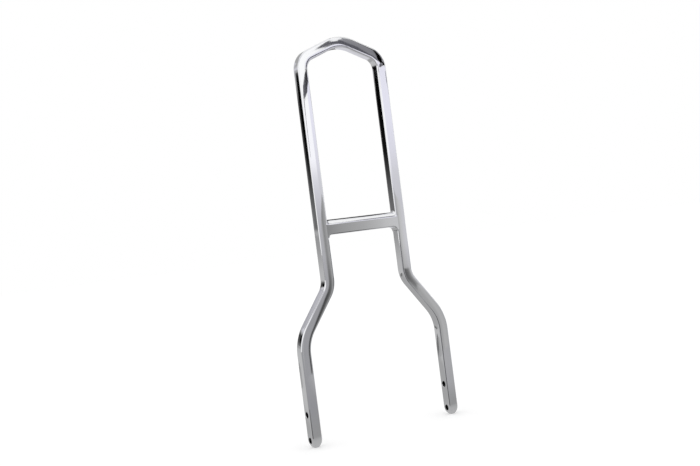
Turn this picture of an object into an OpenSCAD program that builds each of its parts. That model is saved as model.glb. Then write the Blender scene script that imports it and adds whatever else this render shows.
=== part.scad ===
// Sissy bar: a backrest hoop for a motorbike, bent from one square steel bar,
// with a crossbar welded between its uprights. The hoop stands in the X-Z plane,
// the rider's side faces -Y, and the feet end at Z = 0 on either side of X = 0.

/* [Bar] */
// Width across the flats of the square bar
bar_w = 15.9; // [14:0.1:20]
// Radius of the four long edges of the bar
edge_r = 1.9; // [0.8:0.1:3]

/* [Hoop] */
// Height from the feet to the top of the crown
hoop_h = 576; // [480:1:680]
// Distance between the centres of the two uprights
upright_gap = 131; // [112:1:150]
// Angle at which each roof side falls away from the crown
roof_angle = 22.67; // [15:0.01:32]
// Inside radius of the crown bend
crown_in_r = 48; // [20:1:60]
// Inside radius of the two shoulder bends
shoulder_in_r = 16; // [10:1:22]

/* [Legs] */
// Distance between the centres of the two legs
leg_gap = 233; // [190:1:260]
// Height at which the leg's centre line turns inwards
lower_knee_z = 150; // [135:1:165]
// Height at which the centre line meets the upright
upper_knee_z = 218; // [205:1:245]
// Inside radius of the lower knee bend
lower_knee_in_r = 52; // [15:1:60]
// Inside radius of the upper knee bend
upper_knee_in_r = 26; // [12:1:40]
// Height of the ground nose at the foot
nose_h = 11; // [6:0.5:14]
// How far each flat is drawn in by the nose at the bottom
nose_inset = 4.8; // [2:0.1:6]

/* [Bolt holes] */
// Diameter of the holes for the side plate bolts
bolt_d = 8.7; // [6:0.1:10]
// Height of the lower hole above the foot
bolt_z = 10.5; // [8:0.5:16]
// Distance between the two holes of a leg
bolt_pitch = 36; // [25:0.5:50]

/* [Crossbar] */
// Height of the middle of the crossbar above the feet
crossbar_z = 303; // [275:1:400]
// Height of the crossbar's section
crossbar_h = 22.2; // [16:0.1:30]
// Radius of the weld fillets above the crossbar
upper_weld_r = 2.5; // [1:0.5:6]
// Radius of the weld fillets below the crossbar
lower_weld_r = 6; // [3:0.5:10]
// How far the fillets lie behind the front and back faces
weld_inset = 1; // [0.5:0.1:2]

/* [Hidden] */
$fn = 96;
cut_margin = 1;
chrome = [0.78, 0.79, 0.81];

half_bar = bar_w / 2;
upright_x = upright_gap / 2;
leg_x = leg_gap / 2;

// Centre line radii of the bends
crown_r = crown_in_r + half_bar;
shoulder_r = shoulder_in_r + half_bar;
lower_knee_r = lower_knee_in_r + half_bar;
upper_knee_r = upper_knee_in_r + half_bar;

// Angles turned, and the length of each side of a corner that its bend takes up
shoulder_turn = 90 - roof_angle;
knee_turn = atan2(leg_x - upright_x, upper_knee_z - lower_knee_z);
shoulder_len = shoulder_r * tan(shoulder_turn / 2);
upper_knee_len = upper_knee_r * tan(knee_turn / 2);
lower_knee_len = lower_knee_r * tan(knee_turn / 2);

// The corner where the roof and upright lines would meet, from the crown bend's end
crown_top = hoop_h - half_bar;
roof_run = upright_x - crown_r * sin(roof_angle);
shoulder_z = crown_top - crown_r * (1 - cos(roof_angle)) - roof_run * tan(roof_angle);

// Lengths of the straight runs
roof_len = roof_run / cos(roof_angle) - shoulder_len;
upright_len = shoulder_z - shoulder_len - upper_knee_z - upper_knee_len;
step_len = norm([leg_x - upright_x, upper_knee_z - lower_knee_z]) - upper_knee_len - lower_knee_len;
leg_len = lower_knee_z - lower_knee_len;

// Height of the middle of the crossbar's half-round top above the middle of its section
round_z = crossbar_h / 2 - half_bar;

// Depth to which the weld metal reaches into the crossbar, and its width
weld_depth = 3;
weld_w = bar_w - 2 * weld_inset;

// Radius of the arc that draws a flat in by nose_inset over nose_h
nose_r = (nose_h * nose_h + nose_inset * nose_inset) / (2 * nose_inset);

// Section of the bar: a square with rounded edges
module bar_section() {
    flat = bar_w - 2 * edge_r;
    square([bar_w, flat], center = true);
    square([flat, bar_w], center = true);
    for (x = [-flat / 2, flat / 2])
        for (y = [-flat / 2, flat / 2])
            translate([x, y]) circle(edge_r);
}

// Straight run of bar along +Z; what follows it is drawn from its end
module straight(length) {
    linear_extrude(length) bar_section();
    translate([0, 0, length]) children();
}

// Bend that turns the bar from +Z towards +X; what follows it is drawn from its end
module bend(r, turn) {
    translate([r, 0, 0]) {
        mirror([1, 0, 0]) rotate([90, 0, 0]) difference() {
            rotate_extrude(angle = 180) translate([r, 0]) bar_section();
            rotate([0, 0, turn]) translate([-2 * r, 0, -bar_w]) cube([4 * r, 2 * r, 2 * bar_w]);
        }
        rotate([0, turn, 0]) translate([-r, 0, 0]) children();
    }
}

// The same bend, turned the other way
module counter_bend(r, turn) {
    mirror([1, 0, 0]) bend(r, turn) mirror([1, 0, 0]) children();
}

// Outline of a leg in one plane: the bar's width, drawn in by two arcs at the far end
module leg_outline() {
    nose_start = leg_len - nose_h;
    translate([-half_bar, 0]) square([bar_w, nose_start]);
    intersection() {
        translate([-half_bar, nose_start]) square([bar_w, nose_h]);
        translate([half_bar - nose_r, nose_start]) circle(nose_r);
        translate([nose_r - half_bar, nose_start]) circle(nose_r);
    }
}

// Leg from the lower knee to the foot, with its ground nose and two bolt holes
module leg() {
    difference() {
        intersection() {
            linear_extrude(leg_len) bar_section();
            rotate([90, 0, 0]) linear_extrude(bar_w, center = true) leg_outline();
            rotate([90, 0, 90]) linear_extrude(bar_w, center = true) leg_outline();
        }
        for (z = [bolt_z, bolt_z + bolt_pitch])
            translate([-half_bar - cut_margin, 0, leg_len - z])
                rotate([0, 90, 0]) cylinder(h = bar_w + 2 * cut_margin, d = bolt_d);
    }
}

// Right half of the hoop, followed along the bar from the crown to the foot
module half_hoop() {
    translate([0, 0, crown_top]) rotate([0, 90, 0])
        bend(crown_r, roof_angle)
        straight(roof_len)
        bend(shoulder_r, shoulder_turn)
        straight(upright_len)
        counter_bend(upper_knee_r, knee_turn)
        straight(step_len)
        bend(lower_knee_r, knee_turn)
        leg();
}

// The hoop: one bar with seven bends
module hoop() {
    color(chrome) {
        half_hoop();
        mirror([1, 0, 0]) half_hoop();
    }
}

// Section of the crossbar: Y across, Z up, with a half-round top
module crossbar_section() {
    bottom = -crossbar_h / 2;
    translate([0, round_z]) circle(half_bar);
    translate([-half_bar, bottom + edge_r]) square([bar_w, round_z - bottom - edge_r]);
    translate([edge_r - half_bar, bottom]) square([bar_w - 2 * edge_r, 2 * edge_r]);
    for (y = [edge_r - half_bar, half_bar - edge_r])
        translate([y, bottom + edge_r]) circle(edge_r);
}

// Weld fillet between the crossbar's surface, at X = 0, and an upright's side, at Y = 0
module weld_outline(r) {
    difference() {
        translate([-weld_depth, -edge_r]) square([weld_depth + r, edge_r + r]);
        translate([r, r]) circle(r);
    }
}

// Weld above the crossbar's left end, which follows its half-round top
module upper_weld() {
    intersection() {
        rotate([0, 90, 0]) rotate_extrude() translate([half_bar, 0]) weld_outline(upper_weld_r);
        translate([-edge_r, -weld_w / 2, 0])
            cube([edge_r + upper_weld_r, weld_w, half_bar + upper_weld_r]);
    }
}

// Weld below the crossbar's left end
module lower_weld() {
    mirror([0, 0, 1]) rotate([0, -90, -90])
        linear_extrude(weld_w, center = true) weld_outline(lower_weld_r);
}

// The crossbar with its dressed welds, coped to the two uprights
module crossbar() {
    reach = upright_x - half_bar;
    upright_foot = upper_knee_z + upper_knee_len;
    color(chrome) difference() {
        translate([0, 0, crossbar_z]) {
            translate([-upright_x, 0, 0])
                rotate([90, 0, 90]) linear_extrude(upright_gap) crossbar_section();
            for (side = [0, 1])
                mirror([side, 0, 0]) translate([-reach, 0, 0]) {
                    translate([0, 0, round_z]) upper_weld();
                    translate([0, 0, -crossbar_h / 2]) lower_weld();
                }
        }
        for (x = [-upright_x, upright_x])
            translate([x, 0, upright_foot]) linear_extrude(upright_len) bar_section();
    }
}

hoop();
crossbar();
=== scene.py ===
import math

import bmesh
import bpy
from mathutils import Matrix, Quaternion, Vector, noise


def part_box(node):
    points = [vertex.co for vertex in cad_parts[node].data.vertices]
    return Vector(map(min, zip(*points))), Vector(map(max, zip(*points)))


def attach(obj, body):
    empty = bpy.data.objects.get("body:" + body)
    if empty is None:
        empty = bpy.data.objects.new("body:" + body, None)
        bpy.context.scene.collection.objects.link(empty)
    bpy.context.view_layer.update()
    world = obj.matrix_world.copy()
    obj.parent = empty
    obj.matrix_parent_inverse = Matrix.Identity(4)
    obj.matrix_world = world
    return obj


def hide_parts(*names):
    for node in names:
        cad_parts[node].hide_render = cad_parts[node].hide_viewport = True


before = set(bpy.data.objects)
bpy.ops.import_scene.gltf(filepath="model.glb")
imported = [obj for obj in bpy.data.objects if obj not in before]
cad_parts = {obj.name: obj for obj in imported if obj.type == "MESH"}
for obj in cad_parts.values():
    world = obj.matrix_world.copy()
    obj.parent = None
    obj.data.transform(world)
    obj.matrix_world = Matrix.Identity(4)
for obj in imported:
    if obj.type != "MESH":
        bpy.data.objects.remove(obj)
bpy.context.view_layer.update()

mm = 0.001

# Camera
# It stands in front of the hoop and to its left, at the crossbar's height, looks level and
# is rolled a little, so that the hoop leans in the picture.
camera_distance = 1376 * mm
camera_azimuth = math.radians(29.16)
camera_roll = math.radians(-7.29)
camera_rise = 0.0012
look_at = Vector((-19.2 * mm, 0, 291.1 * mm))
towards_hoop = Vector((math.sin(camera_azimuth), math.cos(camera_azimuth), camera_rise))
bpy.ops.object.camera_add(location=look_at - towards_hoop * camera_distance)
camera = bpy.context.object
camera.name = "photo_camera"
camera.rotation_mode = "QUATERNION"
unrolled = towards_hoop.to_track_quat("-Z", "Y")
camera.rotation_quaternion = unrolled @ Quaternion((0, 0, 1), camera_roll)
camera.data.sensor_width = 36
camera.data.lens = 48.85
camera.data.clip_start = 0.05
bpy.context.scene.camera = camera
bpy.context.scene.view_settings.view_transform = "Standard"

# The hoop
# One 5/8 inch square steel bar, cold bent seven times, polished by hand and chrome plated.
# The bar is followed from the left foot to the right one: its section is drawn at the foot,
# then drawn along each straight run and spun round each bend.
bar = 15.9 * mm
half_bar = bar / 2
edge_round = 1.9 * mm
face_crown = 0.14 * mm
merge_distance = 0.01 * mm
hoop_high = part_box("hoop")[1]
leg_x = hoop_high.x - half_bar
hoop_top = hoop_high.z - half_bar
upright_x = 65.5 * mm
lower_knee = Vector((leg_x, 0, 150 * mm))
upper_knee = Vector((upright_x, 0, 218 * mm))
knee_angle = math.atan2(leg_x - upright_x, upper_knee.z - lower_knee.z)
roof_angle = math.radians(22.67)
crown_r = 48 * mm + half_bar
shoulder_r = 16 * mm + half_bar
lower_knee_r = 52 * mm + half_bar
upper_knee_r = 26 * mm + half_bar

crown_drop = crown_r * (1 - math.cos(roof_angle))
roof_width = upright_x - crown_r * math.sin(roof_angle)
shoulder_corner = hoop_top - crown_drop - roof_width * math.tan(roof_angle)
shoulder_angle = math.pi / 2 - roof_angle
shoulder_side = shoulder_r * math.tan(shoulder_angle / 2)
lower_side = lower_knee_r * math.tan(knee_angle / 2)
upper_side = upper_knee_r * math.tan(knee_angle / 2)
leg_run = lower_knee.z - lower_side
step_run = (upper_knee - lower_knee).length - lower_side - upper_side
upright_run = shoulder_corner - shoulder_side - upper_knee.z - upper_side
roof_run = roof_width / math.cos(roof_angle) - shoulder_side
nose_height = 11 * mm
nose_inset = 4.8 * mm
nose_step = 0.8 * mm

bpy.ops.object.select_all(action="DESELECT")
bpy.ops.mesh.primitive_plane_add(size=bar - 2 * face_crown, location=(-leg_x, 0, 0))
hoop = bpy.context.object
hoop.name = "polished_hoop"
bpy.ops.object.transform_apply(location=True, rotation=True, scale=True)
bpy.ops.object.mode_set(mode="EDIT")
bpy.ops.mesh.select_all(action="SELECT")
bpy.ops.mesh.bevel(offset=edge_round, offset_type="OFFSET", segments=8, affect="VERTICES")
shape = bmesh.from_edit_mesh(hoop.data)
flats = [e for e in shape.edges if e.calc_length() > half_bar]
bmesh.ops.subdivide_edges(shape, edges=flats, cuts=9)

# Polishing leaves each flat a little crowned
flat_half = half_bar - face_crown - edge_round
for corner in shape.verts:
    out = [corner.co.x + leg_x, corner.co.y]
    for axis in (0, 1):
        across = out[1 - axis] / flat_half
        if abs(across) < 1 and abs(out[axis]) > flat_half:
            corner.co[axis] += math.copysign(face_crown * (1 - across ** 2), out[axis])
bmesh.update_edit_mesh(hoop.data)
bpy.ops.mesh.select_all(action="SELECT")

# The bar's end in the hoop's plane, and the angle from +Z towards +X at which it runs
place = Vector((-leg_x, 0, 0))
heading = 0.0


def run_on(length, step=4 * mm):
    """Draws the selected end of the bar out along a straight run."""
    global place
    ahead = Vector((math.sin(heading), 0, math.cos(heading)))
    pieces = max(1, round(length / step))
    for _ in range(pieces):
        move = ahead * (length / pieces)
        bpy.ops.mesh.extrude_region_move(TRANSFORM_OT_translate={"value": move})
    place = place + ahead * length


def turn(radius, angle, step=math.radians(2.5)):
    """Spins the selected end round a bend; a positive angle turns the bar towards +X."""
    global place, heading
    side = math.copysign(1, angle)
    aside = Vector((math.cos(heading), 0, -math.sin(heading))) * side
    centre = place + aside * radius
    steps = max(2, round(abs(angle) / step))
    bpy.ops.mesh.spin(steps=steps, angle=-angle, center=centre, axis=(0, 1, 0), dupli=False)
    heading += angle
    place = centre - Vector((math.cos(heading), 0, -math.sin(heading))) * side * radius


run_on(nose_height, nose_step)
run_on(leg_run - nose_height)
turn(lower_knee_r, knee_angle)
run_on(step_run)
turn(upper_knee_r, -knee_angle)
run_on(upright_run)
turn(shoulder_r, shoulder_angle)
run_on(roof_run)
turn(crown_r, 2 * roof_angle)
run_on(roof_run)
turn(shoulder_r, shoulder_angle)
run_on(upright_run)
turn(upper_knee_r, -knee_angle)
run_on(step_run)
turn(lower_knee_r, knee_angle)
run_on(leg_run - nose_height)
run_on(nose_height, nose_step)
bpy.ops.mesh.select_all(action="SELECT")
bpy.ops.mesh.remove_doubles(threshold=merge_distance)
bpy.ops.mesh.normals_make_consistent(inside=False)
bpy.ops.object.mode_set(mode="OBJECT")

# Hand polishing leaves slow waves in the faces. It also leans the right roof's front back,
# flattens its crown and tips its shoulder outwards.
wave = 0.1 * mm
wave_length = 55 * mm
small_wave = 0.3 * wave
small_length = wave_length / 2.7
lean = 0.02
lean_left = -8 * mm
lean_right = 26 * mm
shoulder_tip = 0.02
tip_start = 60 * mm
lean_low = 530.5 * mm
lean_full = 537.5 * mm
lean_slant = 0.83
crown_left = 0.4


def polished(point):
    """How far the polished face lies under the true one, always inwards."""
    slow = 0.5 + 0.5 * noise.noise(point / wave_length)
    quick = 0.5 + 0.5 * noise.noise(point / small_length)
    return wave * slow + small_wave * quick


def ease(value, low, high):
    """Rises smoothly from 0 at low to 1 at high."""
    share = max(0, min(1, (value - low) / (high - low)))
    return share * share * (3 - 2 * share)


for point in hoop.data.vertices:
    sink = polished(point.co)
    if point.co.y < -flat_half:
        point.co.y += sink
        slanted = point.co.z - lean_slant * (point.co.x - upright_x)
        blend = ease(point.co.x, lean_left, lean_right) * ease(slanted, lean_low, lean_full)
        rise = point.co.z - shoulder_corner + (point.co.x - upright_x) * math.tan(roof_angle)
        across = max(-half_bar, min(half_bar, rise * math.cos(roof_angle)))
        flattened = (1 - crown_left) * face_crown * (1 - min(1, abs(across) / flat_half) ** 2)
        point.co.y += blend * (lean * (across + half_bar) + flattened)
        point.co.y += blend * shoulder_tip * max(0, point.co.x - tip_start)
    elif point.co.y > flat_half:
        point.co.y -= sink

# The feet are ground to a nose: an arc draws every flat in towards the end
nose_r = (nose_height ** 2 + nose_inset ** 2) / (2 * nose_inset)
nose_crease = 0.15 * mm
nose_soft = 1.2 * mm
nose_uneven = 0.1
nose_wave = 5 * mm
for point in hoop.data.vertices:
    if point.co.z < nose_height:
        down = nose_height - max(point.co.z, 0)
        inset = nose_r - math.sqrt(nose_r ** 2 - down ** 2) + nose_crease * min(1, down / nose_soft)
        inset *= 1 + nose_uneven * noise.noise(point.co / nose_wave)
        keep = 1 - inset / half_bar
        centre_x = math.copysign(leg_x, point.co.x)
        point.co.x = centre_x + (point.co.x - centre_x) * keep
        point.co.y *= keep
        point.co.z = max(point.co.z, 0)

# Two bolt holes across each leg, drilled and deburred before plating
hole_r = 4.35 * mm
hole_rim = 0.4 * mm
mouth_r = hole_r + 3 * hole_rim
mouth_depth = half_bar + 2 * hole_rim
hole_heights = (10.5 * mm, 46.5 * mm)


def drill(x, z):
    """Cuts one hole along X; the drill widens at both faces of the bar to break the edge."""
    bpy.ops.object.select_all(action="DESELECT")
    bpy.ops.mesh.primitive_circle_add(vertices=64, radius=mouth_r, fill_type="NGON",
                                      rotation=(0, math.pi / 2, 0))
    bit = bpy.context.object
    bpy.ops.object.transform_apply(location=False, rotation=True, scale=False)
    bpy.ops.object.mode_set(mode="EDIT")
    bpy.ops.mesh.select_all(action="SELECT")
    stations = ((half_bar - hole_rim, hole_r), (hole_rim - half_bar, hole_r),
                (-mouth_depth, mouth_r))
    at, r = mouth_depth, mouth_r
    bpy.ops.transform.translate(value=(at, 0, 0))
    for next_at, next_r in stations:
        move = {"value": (next_at - at, 0, 0)}
        bpy.ops.mesh.extrude_region_move(TRANSFORM_OT_translate=move)
        grow = next_r / r
        bpy.ops.transform.resize(value=(1, grow, grow), center_override=(next_at, 0, 0))
        at, r = next_at, next_r
    bpy.ops.mesh.select_all(action="SELECT")
    bpy.ops.transform.translate(value=(x, 0, z))
    bpy.ops.mesh.normals_make_consistent(inside=False)
    bpy.ops.object.mode_set(mode="OBJECT")
    bpy.ops.object.select_all(action="DESELECT")
    bpy.context.view_layer.objects.active = hoop
    cut = hoop.modifiers.new("drill", "BOOLEAN")
    cut.operation = "DIFFERENCE"
    cut.solver = "EXACT"
    cut.object = bit
    bpy.ops.object.modifier_apply(modifier=cut.name)
    bpy.data.objects.remove(bit)


for height in hole_heights:
    drill(-leg_x, height)
    drill(leg_x, height)
hoop.select_set(True)
bpy.ops.object.shade_smooth_by_angle(angle=math.radians(28))
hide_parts("hoop")
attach(hoop, "root")

# The crossbar
# A short steel bar with a half-round top, coped and welded between the uprights. The welds
# are ground to small fillets and plated over with the rest.
crossbar_z = 303 * mm
crossbar_height = 22.2 * mm
crossbar_round = 7.8 * mm
crossbar_edge = 1.5 * mm
shortest_flat = 3 * mm
weld_sizes = {(False, True): 2.5 * mm, (False, False): 5 * mm,
              (True, True): 2.5 * mm, (True, False): 7.5 * mm}
reach = upright_x - half_bar
tuck = 2.5 * mm

bpy.ops.object.select_all(action="DESELECT")
bpy.ops.mesh.primitive_plane_add(size=1, location=(0, 0, 0))
crossbar = bpy.context.object
crossbar.name = "welded_crossbar"
crossbar.scale = (bar - 2 * face_crown, crossbar_height - 2 * face_crown, 1)
crossbar.rotation_euler = (math.pi / 2, 0, math.pi / 2)
crossbar.location = (-reach - tuck, 0, crossbar_z)
bpy.ops.object.transform_apply(location=True, rotation=True, scale=True)
bpy.ops.object.mode_set(mode="EDIT")
for upper, radius, steps in ((True, crossbar_round, 14), (False, crossbar_edge, 8)):
    bpy.ops.mesh.select_all(action="DESELECT")
    shape = bmesh.from_edit_mesh(crossbar.data)
    for corner in shape.verts:
        if abs(abs(corner.co.y) - half_bar + face_crown) < merge_distance:
            corner.select = (corner.co.z > crossbar_z) == upper
    bmesh.update_edit_mesh(crossbar.data)
    bpy.ops.mesh.bevel(offset=radius, offset_type="OFFSET", segments=steps, affect="VERTICES")
bpy.ops.mesh.select_all(action="DESELECT")
shape = bmesh.from_edit_mesh(crossbar.data)
flats = [e for e in shape.edges if e.calc_length() > shortest_flat]
bmesh.ops.subdivide_edges(shape, edges=flats, cuts=7)
bmesh.update_edit_mesh(crossbar.data)
bpy.ops.mesh.select_all(action="SELECT")
length = 2 * (reach + tuck)
slices = 96
for _ in range(slices):
    bpy.ops.mesh.extrude_region_move(TRANSFORM_OT_translate={"value": (length / slices, 0, 0)})
bpy.ops.mesh.select_all(action="SELECT")
bpy.ops.mesh.remove_doubles(threshold=merge_distance)
bpy.ops.mesh.normals_make_consistent(inside=False)
bpy.ops.object.mode_set(mode="OBJECT")
for point in crossbar.data.vertices:
    up = (point.co.z - crossbar_z) / (crossbar_height / 2)
    weld_r = weld_sizes[point.co.x > 0, up > 0]
    past = abs(point.co.x) - (reach - weld_r)
    if past > 0:
        rise = weld_r - math.sqrt(max(weld_r ** 2 - min(past, weld_r) ** 2, 0))
        point.co.z += rise * up
bpy.ops.object.shade_smooth_by_angle(angle=math.radians(40))
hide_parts("crossbar")
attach(crossbar, "root")

# Chrome
# Bright nickel and chrome plate over hand-polished steel. Deep in the bolt holes the walls are
# dull, unplated steel, and their colour is painted near black: painted shade in the holes.
chrome_reflects = 0.885
hole_shade_start = 1.4 * mm
hole_margin = 0.02 * mm
chrome = bpy.data.materials.new("chrome")
chrome.use_nodes = True
nodes, links = chrome.node_tree.nodes, chrome.node_tree.links
shine = nodes["Principled BSDF"]
shine.inputs["Metallic"].default_value = 1
coords = nodes.new("ShaderNodeTexCoord")
split = nodes.new("ShaderNodeSeparateXYZ")
links.new(coords.outputs["Object"], split.inputs[0])


def maths(operation, a, b=0.0):
    """Adds a Math node to the chrome; a and b are numbers or sockets."""
    node = nodes.new("ShaderNodeMath")
    node.operation = operation
    for socket, value in zip(node.inputs, (a, b)):
        if isinstance(value, (int, float)):
            socket.default_value = value
        else:
            links.new(value, socket)
    return node.outputs[0]


from_axes = []
for height in hole_heights:
    up = maths("SUBTRACT", split.outputs["Z"], height)
    square = maths("ADD", maths("MULTIPLY", split.outputs["Y"], split.outputs["Y"]),
                   maths("MULTIPLY", up, up))
    from_axes.append(maths("SQRT", square))
within = maths("LESS_THAN", maths("MINIMUM", *from_axes), hole_r + hole_margin)
from_leg = maths("SUBTRACT", maths("ABSOLUTE", split.outputs["X"]), leg_x)
deep = maths("LESS_THAN", maths("ABSOLUTE", from_leg), half_bar - hole_shade_start)
hole_shade_mask = maths("MULTIPLY", within, deep)
# Painted shade: the walls deep in the bolt holes are coloured near black, and made rough as dull
# steel
colour = nodes.new("ShaderNodeMix")
colour.data_type = "RGBA"
colour.inputs["B"].default_value = (0.03, 0.03, 0.032, 1)
links.new(hole_shade_mask, colour.inputs["Factor"])
links.new(colour.outputs["Result"], shine.inputs["Base Color"])

# The polish: a haze that comes and goes, and fine ripples left by the wheel
polish = bpy.data.node_groups.new("polish", "ShaderNodeTree")
polish.interface.new_socket("Point", in_out="INPUT", socket_type="NodeSocketVector")
polish.interface.new_socket("Haze", in_out="OUTPUT", socket_type="NodeSocketFloat")
polish.interface.new_socket("Ripple", in_out="OUTPUT", socket_type="NodeSocketFloat")
point_in = polish.nodes.new("NodeGroupInput")
marks_out = polish.nodes.new("NodeGroupOutput")
for scale, mark in ((55, "Haze"), (240, "Ripple")):
    cloud = polish.nodes.new("ShaderNodeTexNoise")
    cloud.inputs["Scale"].default_value = scale
    cloud.inputs["Detail"].default_value = 3
    polish.links.new(point_in.outputs["Point"], cloud.inputs["Vector"])
    polish.links.new(cloud.outputs["Fac"], marks_out.inputs[mark])
marks = nodes.new("ShaderNodeGroup")
marks.node_tree = polish
links.new(coords.outputs["Object"], marks.inputs["Point"])
plated = nodes.new("ShaderNodeMix")
plated.data_type = "RGBA"
plated.inputs["A"].default_value = (0.892, 0.896, 0.908, 1)
plated.inputs["B"].default_value = (0.868, 0.874, 0.892, 1)
links.new(marks.outputs["Haze"], plated.inputs["Factor"])
links.new(plated.outputs["Result"], colour.inputs["A"])
hazy = nodes.new("ShaderNodeMapRange")
hazy.inputs["From Min"].default_value = 0.3
hazy.inputs["From Max"].default_value = 0.7
hazy.inputs["To Min"].default_value = 0.03
hazy.inputs["To Max"].default_value = 0.055
links.new(marks.outputs["Haze"], hazy.inputs["Value"])
rough = nodes.new("ShaderNodeMix")
rough.inputs["B"].default_value = 0.5
links.new(hole_shade_mask, rough.inputs["Factor"])
links.new(hazy.outputs["Result"], rough.inputs["A"])
links.new(rough.outputs["Result"], shine.inputs["Roughness"])
ripples = nodes.new("ShaderNodeBump")
ripples.inputs["Strength"].default_value = 1
ripples.inputs["Distance"].default_value = 0.0015 * mm
links.new(marks.outputs["Ripple"], ripples.inputs["Height"])
links.new(ripples.outputs["Normal"], shine.inputs["Normal"])
hoop.data.materials.clear()
hoop.data.materials.append(chrome)
crossbar.data.materials.append(chrome)

# Studio
# The hoop stands on white paper in soft even light. Cards round it, which only the chrome
# sees, are a studio's walls, curtains and screens.
bpy.ops.object.select_all(action="DESELECT")
bpy.ops.mesh.primitive_plane_add(size=30, location=(0, 0, 0))
floor = bpy.context.object
floor.name = "paper_floor"


def level(tone, lavender=0.0):
    """The emission that polished chrome shows as this tone from 0 to 255; lavender tints it."""
    value = (tone / 255) ** 2.2 / chrome_reflects
    return (value * (1 - 0.3 * lavender), value * (1 - 0.4 * lavender), value * (1 + lavender), 1)


def ramp_by(nodes, links, axis, stops):
    """A colour ramp along one object axis; stops are (place, colour)."""
    first, last = stops[0][0], stops[-1][0]
    coords = nodes.new("ShaderNodeTexCoord")
    split = nodes.new("ShaderNodeSeparateXYZ")
    span = nodes.new("ShaderNodeMapRange")
    ramp = nodes.new("ShaderNodeValToRGB")
    span.inputs["From Min"].default_value = first
    span.inputs["From Max"].default_value = last
    links.new(coords.outputs["Object"], split.inputs[0])
    links.new(split.outputs[axis], span.inputs["Value"])
    links.new(span.outputs[0], ramp.inputs[0])
    elements = ramp.color_ramp.elements
    elements.remove(elements[-1])
    for i, (at, colour) in enumerate(stops):
        stop = elements[0] if i == 0 else elements.new(1)
        stop.position = (at - first) / (last - first)
        stop.color = colour
    return ramp


paper = bpy.data.materials.new("paper")
paper.use_nodes = True
nodes, links = paper.node_tree.nodes, paper.node_tree.links
nodes.clear()
out = nodes.new("ShaderNodeOutputMaterial")
mix = nodes.new("ShaderNodeMixShader")
path = nodes.new("ShaderNodeLightPath")
seen = nodes.new("ShaderNodeBsdfDiffuse")
seen.inputs["Color"].default_value = (0.9, 0.9, 0.9, 1)
glow = nodes.new("ShaderNodeEmission")
glow.inputs["Strength"].default_value = 0.15
add = nodes.new("ShaderNodeAddShader")
# Painted reflection and shade: glossy rays see the paper as a grey glow set by place, not the white
# paper the camera sees
mirrored = nodes.new("ShaderNodeEmission")
front_left = ramp_by(nodes, links, "Y", (
    (-4, level(146)), (-0.5, level(149, 0.03)), (-0.3, level(144, 0.04)), (-0.08, level(143)),
    (-0.03, level(166)), (0, level(172))))
front_right = ramp_by(nodes, links, "Y", (
    (-4, level(160)), (-0.43, level(164, 0.02)), (-0.25, level(161, 0.02)), (-0.08, level(145)),
    (-0.03, level(168)), (0, level(174))))
to_right = ramp_by(nodes, links, "X", ((0.1, (0, 0, 0, 1)), (0.25, (1, 1, 1, 1))))
in_front = nodes.new("ShaderNodeMix")
in_front.data_type = "RGBA"
links.new(to_right.outputs["Color"], in_front.inputs["Factor"])
links.new(front_left.outputs["Color"], in_front.inputs["A"])
links.new(front_right.outputs["Color"], in_front.inputs["B"])
behind = ramp_by(nodes, links, "X", (
    (-2.5, level(178)), (-0.28, level(182)), (-0.2, level(158)), (0.1, level(158)),
    (0.28, level(204, 0.04)), (2, level(208, 0.04))))
side = ramp_by(nodes, links, "Y", ((0, (0, 0, 0, 1)), (0.1, (1, 1, 1, 1))))
floor_tones = nodes.new("ShaderNodeMix")
floor_tones.data_type = "RGBA"
links.new(side.outputs["Color"], floor_tones.inputs["Factor"])
links.new(in_front.outputs["Result"], floor_tones.inputs["A"])
links.new(behind.outputs["Color"], floor_tones.inputs["B"])
links.new(floor_tones.outputs["Result"], mirrored.inputs["Color"])
links.new(seen.outputs[0], add.inputs[0])
links.new(glow.outputs[0], add.inputs[1])
links.new(path.outputs["Is Glossy Ray"], mix.inputs[0])
links.new(add.outputs[0], mix.inputs[1])
links.new(mirrored.outputs[0], mix.inputs[2])
links.new(mix.outputs[0], out.inputs["Surface"])
floor.data.materials.append(paper)


def reflected(name, outline, axis, tones, lower_tones=None, change=(0, 1)):
    """A card that only reflections see. outline is a list of faces, each a list of corners.
    tones are (place, colour) along the axis; lower_tones, if given, take over downwards
    between the two heights of change."""
    shape = bmesh.new()
    for corners in outline:
        shape.faces.new([shape.verts.new(corner) for corner in corners])
    mesh = bpy.data.meshes.new(name)
    shape.to_mesh(mesh)
    shape.free()
    wall = bpy.data.objects.new(name, mesh)
    bpy.context.scene.collection.objects.link(wall)
    wall.visible_camera = False
    wall.visible_diffuse = False
    wall.visible_shadow = False
    stuff = bpy.data.materials.new(name)
    stuff.use_nodes = True
    nodes, links = stuff.node_tree.nodes, stuff.node_tree.links
    nodes.clear()
    out = nodes.new("ShaderNodeOutputMaterial")
    glow = nodes.new("ShaderNodeEmission")
    colour = ramp_by(nodes, links, axis, tones).outputs["Color"]
    if lower_tones:
        lower = ramp_by(nodes, links, axis, lower_tones)
        rise = ramp_by(nodes, links, "Z", ((change[0], (0, 0, 0, 1)), (change[1], (1, 1, 1, 1))))
        blend = nodes.new("ShaderNodeMix")
        blend.data_type = "RGBA"
        links.new(rise.outputs["Color"], blend.inputs["Factor"])
        links.new(lower.outputs["Color"], blend.inputs["A"])
        links.new(colour, blend.inputs["B"])
        colour = blend.outputs["Result"]
    links.new(colour, glow.inputs["Color"])
    links.new(glow.outputs[0], out.inputs["Surface"])
    wall.data.materials.append(stuff)


def bearing(distance, degrees, height):
    """A point that lies this far from the hoop's centre, in degrees from its front."""
    way = math.radians(degrees)
    return (distance * math.sin(way), -distance * math.cos(way), height)


def patch(distance, corners):
    """One face of a wall at this distance; corners are (degrees, height)."""
    return [bearing(distance, *corner) for corner in corners]


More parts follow.
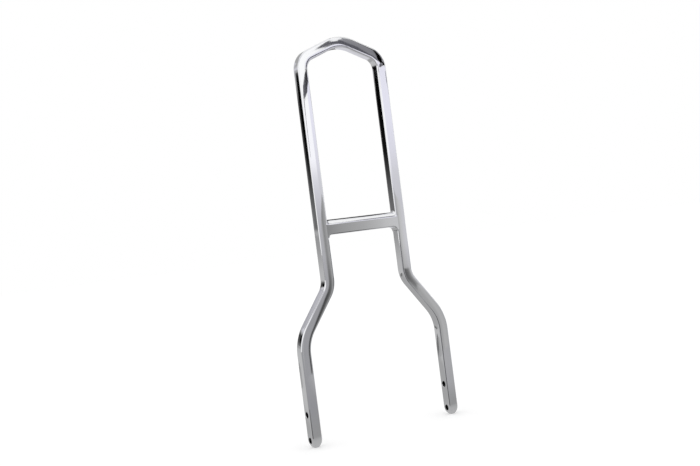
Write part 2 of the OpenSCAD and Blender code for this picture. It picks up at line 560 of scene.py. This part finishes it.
def curve(distance, start, end, low, high):
    """The faces of a curved wall round the hoop, from start to end in degrees from the hoop's
    front towards its right, between two heights."""
    steps = 24
    ways = [start + (end - start) * i / steps for i in range(steps + 1)]
    return [patch(distance, ((a, low), (b, low), (b, high), (a, high)))
            for a, b in zip(ways, ways[1:])]


def standing(y, corners):
    """One upright face across the room at this y; corners are (x, z)."""
    return [(x, y, z) for x, z in corners]


def lying(z, corners):
    """One level face at this height; corners are (x, y)."""
    return [(x, y, z) for x, y in corners]


# In front and to the left: a white wall that darkens towards the floor
wall_r = 2.5
reflected("white_wall", curve(wall_r, -45, 28, 0, 3), "Z", (
    (0, level(150)), (0.11, level(156, 0.03)), (0.15, level(167, 0.03)), (0.25, level(176, 0.03)),
    (0.34, level(177, 0.04)), (0.38, level(183, 0.04)), (0.44, level(197, 0.05)),
    (0.52, level(213, 0.05)), (0.61, level(246, 0.03)), (0.9, level(250)), (1.35, level(250)),
    (1.5, level(222, 0.02)), (3, level(208, 0.04))))
# In front and to the right: a lavender screen, and dark and grey doorways over it
reflected("lavender_screen", curve(wall_r, 28, 75, 0, 0.96), "Z", (
    (0, level(150)), (0.11, level(158, 0.04)), (0.21, level(179, 0.05)), (0.29, level(185, 0.05)),
    (0.38, level(193, 0.05)), (0.44, level(199, 0.04)), (0.52, level(204, 0.04)),
    (0.61, level(218, 0.07)), (0.69, level(223, 0.08)), (0.78, level(228, 0.08)),
    (0.96, level(229, 0.08))))
reflected("dark_doorway", [patch(wall_r - 0.08, (
    (27.1, 1.1), (27.7, 1.07), (28.3, 1.045), (28.9, 1.0), (29.4, 0.955), (34.2, 0.955),
    (33.6, 1.0), (33, 1.04), (32.7, 1.09), (32.3, 1.12), (31.8, 1.15), (31.2, 1.17),
    (30.4, 1.18), (30, 1.12), (29.3, 1.12), (28.6, 1.14), (28.3, 1.2), (27.8, 1.25),
    (27.3, 1.22), (27.1, 1.16)))], "Z", (
    (0.955, level(95, 0.1)), (1.06, level(88, 0.12)), (1.2, level(85, 0.08))))
reflected("black_doorway", curve(wall_r - 0.07, 34.9, 42, 0.955, 1.4), "X", (
    (1.39, level(95)), (1.405, level(35)), (1.425, level(5)), (1.63, level(5))))
reflected("grey_doorway", [patch(wall_r - 0.04, (
    (30.3, 0.96), (45, 0.96), (60, 0.96), (60, 1.7), (45, 1.7), (33, 1.7), (32.4, 1.25),
    (30.3, 1.2)))], "Z", (
    (0.96, level(140, 0.05)), (1.1, level(125, 0.06)), (1.3, level(145, 0.04)),
    (1.7, level(150, 0.03))))
reflected("grey_lintel", curve(wall_r, 50, 112, 1.45, 2.5), "Z", (
    (1.45, level(140, 0.03)), (2.5, level(165, 0.03))))
# High on the left the wall turns grey, and a grey band slants up it
reflected("left_ceiling", curve(wall_r, -100, -25, 2.3, 6), "Z", (
    (2.3, level(214, 0.05)), (6, level(205, 0.04))))
band = ((5, 0.85), (-5.4, 1.05), (-22.8, 1.65), (-43.6, 2.3), (-69, 2.85), (-98, 3.0))
band_half = 0.16
reflected("slanting_band", [
    patch(wall_r - 0.06, ((a, a_mid - band_half), (b, b_mid - band_half),
                          (b, b_mid + band_half), (a, a_mid + band_half)))
    for (a, a_mid), (b, b_mid) in zip(band, band[1:])], "Z", (
    (0.69, level(192, 0.04)), (3.16, level(188, 0.04))))
# Dark edges of things close by: before the right upright and the two legs
reflected("middle_post", [standing(-0.1, (
    (0.006, 0.14), (0.075, 0.14), (0.075, 0.285), (0.006, 0.285)))], "Z", (
    (0.14, level(70)), (0.285, level(60))))
reflected("right_post", [standing(-0.06, (
    (0.075, 0), (0.122, 0), (0.122, 0.138), (0.075, 0.138)))], "Z", (
    (0, level(55)), (0.138, level(85))))
reflected("left_post", [standing(-0.06, (
    (-0.159, 0), (-0.108, 0), (-0.108, 0.045), (-0.159, 0.045)))], "Z", (
    (0, level(50)), (0.045, level(110))))
# Near on the right: a low screen, and a shade before it that the right step's knee shows
reflected("low_screen", [standing(-0.65, (
    (0.13, 0), (0.65, 0), (0.65, 0.33), (0.42, 0.36), (0.33, 0.385), (0.27, 0.345),
    (0.2, 0.3), (0.13, 0.3)))], "X", (
    (0.13, level(170, 0.03)), (0.23, level(170, 0.03)), (0.25, level(155)),
    (0.275, level(130)), (0.295, level(140)), (0.32, level(150)), (0.375, level(163)),
    (0.415, level(178)), (0.433, level(187)), (0.52, level(196, 0.03)), (0.65, level(198, 0.03))), (
    (0.13, level(150, 0.03)), (0.235, level(152, 0.03)), (0.258, level(62)), (0.285, level(84)),
    (0.31, level(110)), (0.335, level(148)), (0.4, level(158)), (0.48, level(156)),
    (0.54, level(170)), (0.65, level(166))), (0.16, 0.25))
reflected("knee_shade", [standing(-0.645, (
    (0.37, 0.09), (0.43, 0.1), (0.465, 0.14), (0.505, 0.168), (0.57, 0.183), (0.57, 0.196),
    (0.37, 0.198)))], "X", (
    (0.37, level(92)), (0.43, level(96)), (0.475, level(108)), (0.515, level(138)),
    (0.545, level(170)), (0.57, level(186))), (
    (0.37, level(158)), (0.48, level(156)), (0.57, level(168))), (0.105, 0.16))
# A black flag on a thin curved pole, and a thin black bar in line with it
flag_y = -0.52
cloth = ((0.305, 0.642), (0.26, 0.634), (0.226, 0.626), (0.202, 0.615), (0.186, 0.609),
         (0.176, 0.603), (0.162, 0.598), (0.156, 0.588), (0.158, 0.572), (0.17, 0.572),
         (0.228, 0.588), (0.243, 0.599), (0.265, 0.61), (0.305, 0.614))
pole = ((0.156, 0.588), (0.14, 0.57), (0.125, 0.543), (0.11, 0.5), (0.102, 0.45),
        (0.12, 0.45), (0.129, 0.5), (0.147, 0.543), (0.158, 0.572))
thin_bar = ((0.48, 0.607), (0.95, 0.607), (0.95, 0.632), (0.48, 0.632))
reflected("flag", [standing(flag_y, part) for part in (cloth, pole, thin_bar)], "X", (
    (0.102, level(105)), (0.15, level(95, 0.08)), (0.18, level(95, 0.1)), (0.22, level(70, 0.1)),
    (0.27, level(40, 0.1)), (0.305, level(25)), (0.95, level(30))))
# A dark strip across the floor behind, which only the right leg's inner side shows
reflected("floor_shade", [lying(2 * mm, (
    (-0.2, 0.5), (-0.36, 0.5), (-0.5, 0.79), (-0.4, 0.8), (-0.22, 0.66)))], "X", (
    (-0.5, level(160)), (-0.2, level(157))))
reflected("floor_strip", [lying(4 * mm, (
    (-0.185, 0.52), (-0.29, 0.6), (-0.475, 0.835), (-0.442, 0.862), (-0.245, 0.68),
    (-0.165, 0.56)))], "X", (
    (-0.475, level(112)), (-0.26, level(108)), (-0.165, level(145))))
# Behind and to the left: a black curtain over the pale floor, a grey one beside it, and a patch
# over the grey one, darker than it low down and lighter high up, that the left step's side shows
reflected("black_curtain", curve(wall_r, -153, -120, 0, 3), "Z", (
    (0, level(178)), (0.15, level(177)), (0.25, level(150)), (0.30, level(146)),
    (0.31, level(185)), (0.325, level(100)), (0.38, level(104)), (0.44, level(92)),
    (0.52, level(60)), (0.61, level(25)), (0.75, level(12)), (0.957, level(14)),
    (0.968, level(150)), (1.1, level(200, 0.05)), (1.35, level(185, 0.03)), (1.6, level(165)),
    (3, level(165))))
reflected("grey_curtain", curve(wall_r, -200, -153, 0, 4), "Z", (
    (0, level(180)), (0.15, level(177)), (0.25, level(150)), (0.30, level(142)),
    (0.31, level(172)), (0.325, level(122)), (0.38, level(118)), (0.44, level(100)),
    (0.61, level(72)), (0.75, level(66)), (0.84, level(70)), (0.91, level(150)),
    (1.1, level(205, 0.05)), (1.3, level(178, 0.03)), (1.5, level(160)), (4, level(160))))
reflected("curtain_patch", curve(wall_r - 0.05, -180, -160.5, 0.97, 1.7), "Z", (
    (0.97, level(172, 0.05)), (1.17, level(166, 0.05)), (1.29, level(177, 0.05)),
    (1.41, level(186, 0.05)), (1.7, level(195, 0.04))))
# Behind and to the right: the dark end of the room, over the pale floor
reflected("dark_end", curve(wall_r, 104, 153.5, 0.32, 4.4), "Z", (
    (0.32, level(120)), (0.7, level(70)), (4.4, level(60))))

world = bpy.data.worlds.new("studio")
bpy.context.scene.world = world
world.use_nodes = True
world.node_tree.nodes["Background"].inputs["Color"].default_value = (1, 1, 1, 1)
world.node_tree.nodes["Background"].inputs["Strength"].default_value = 1.0
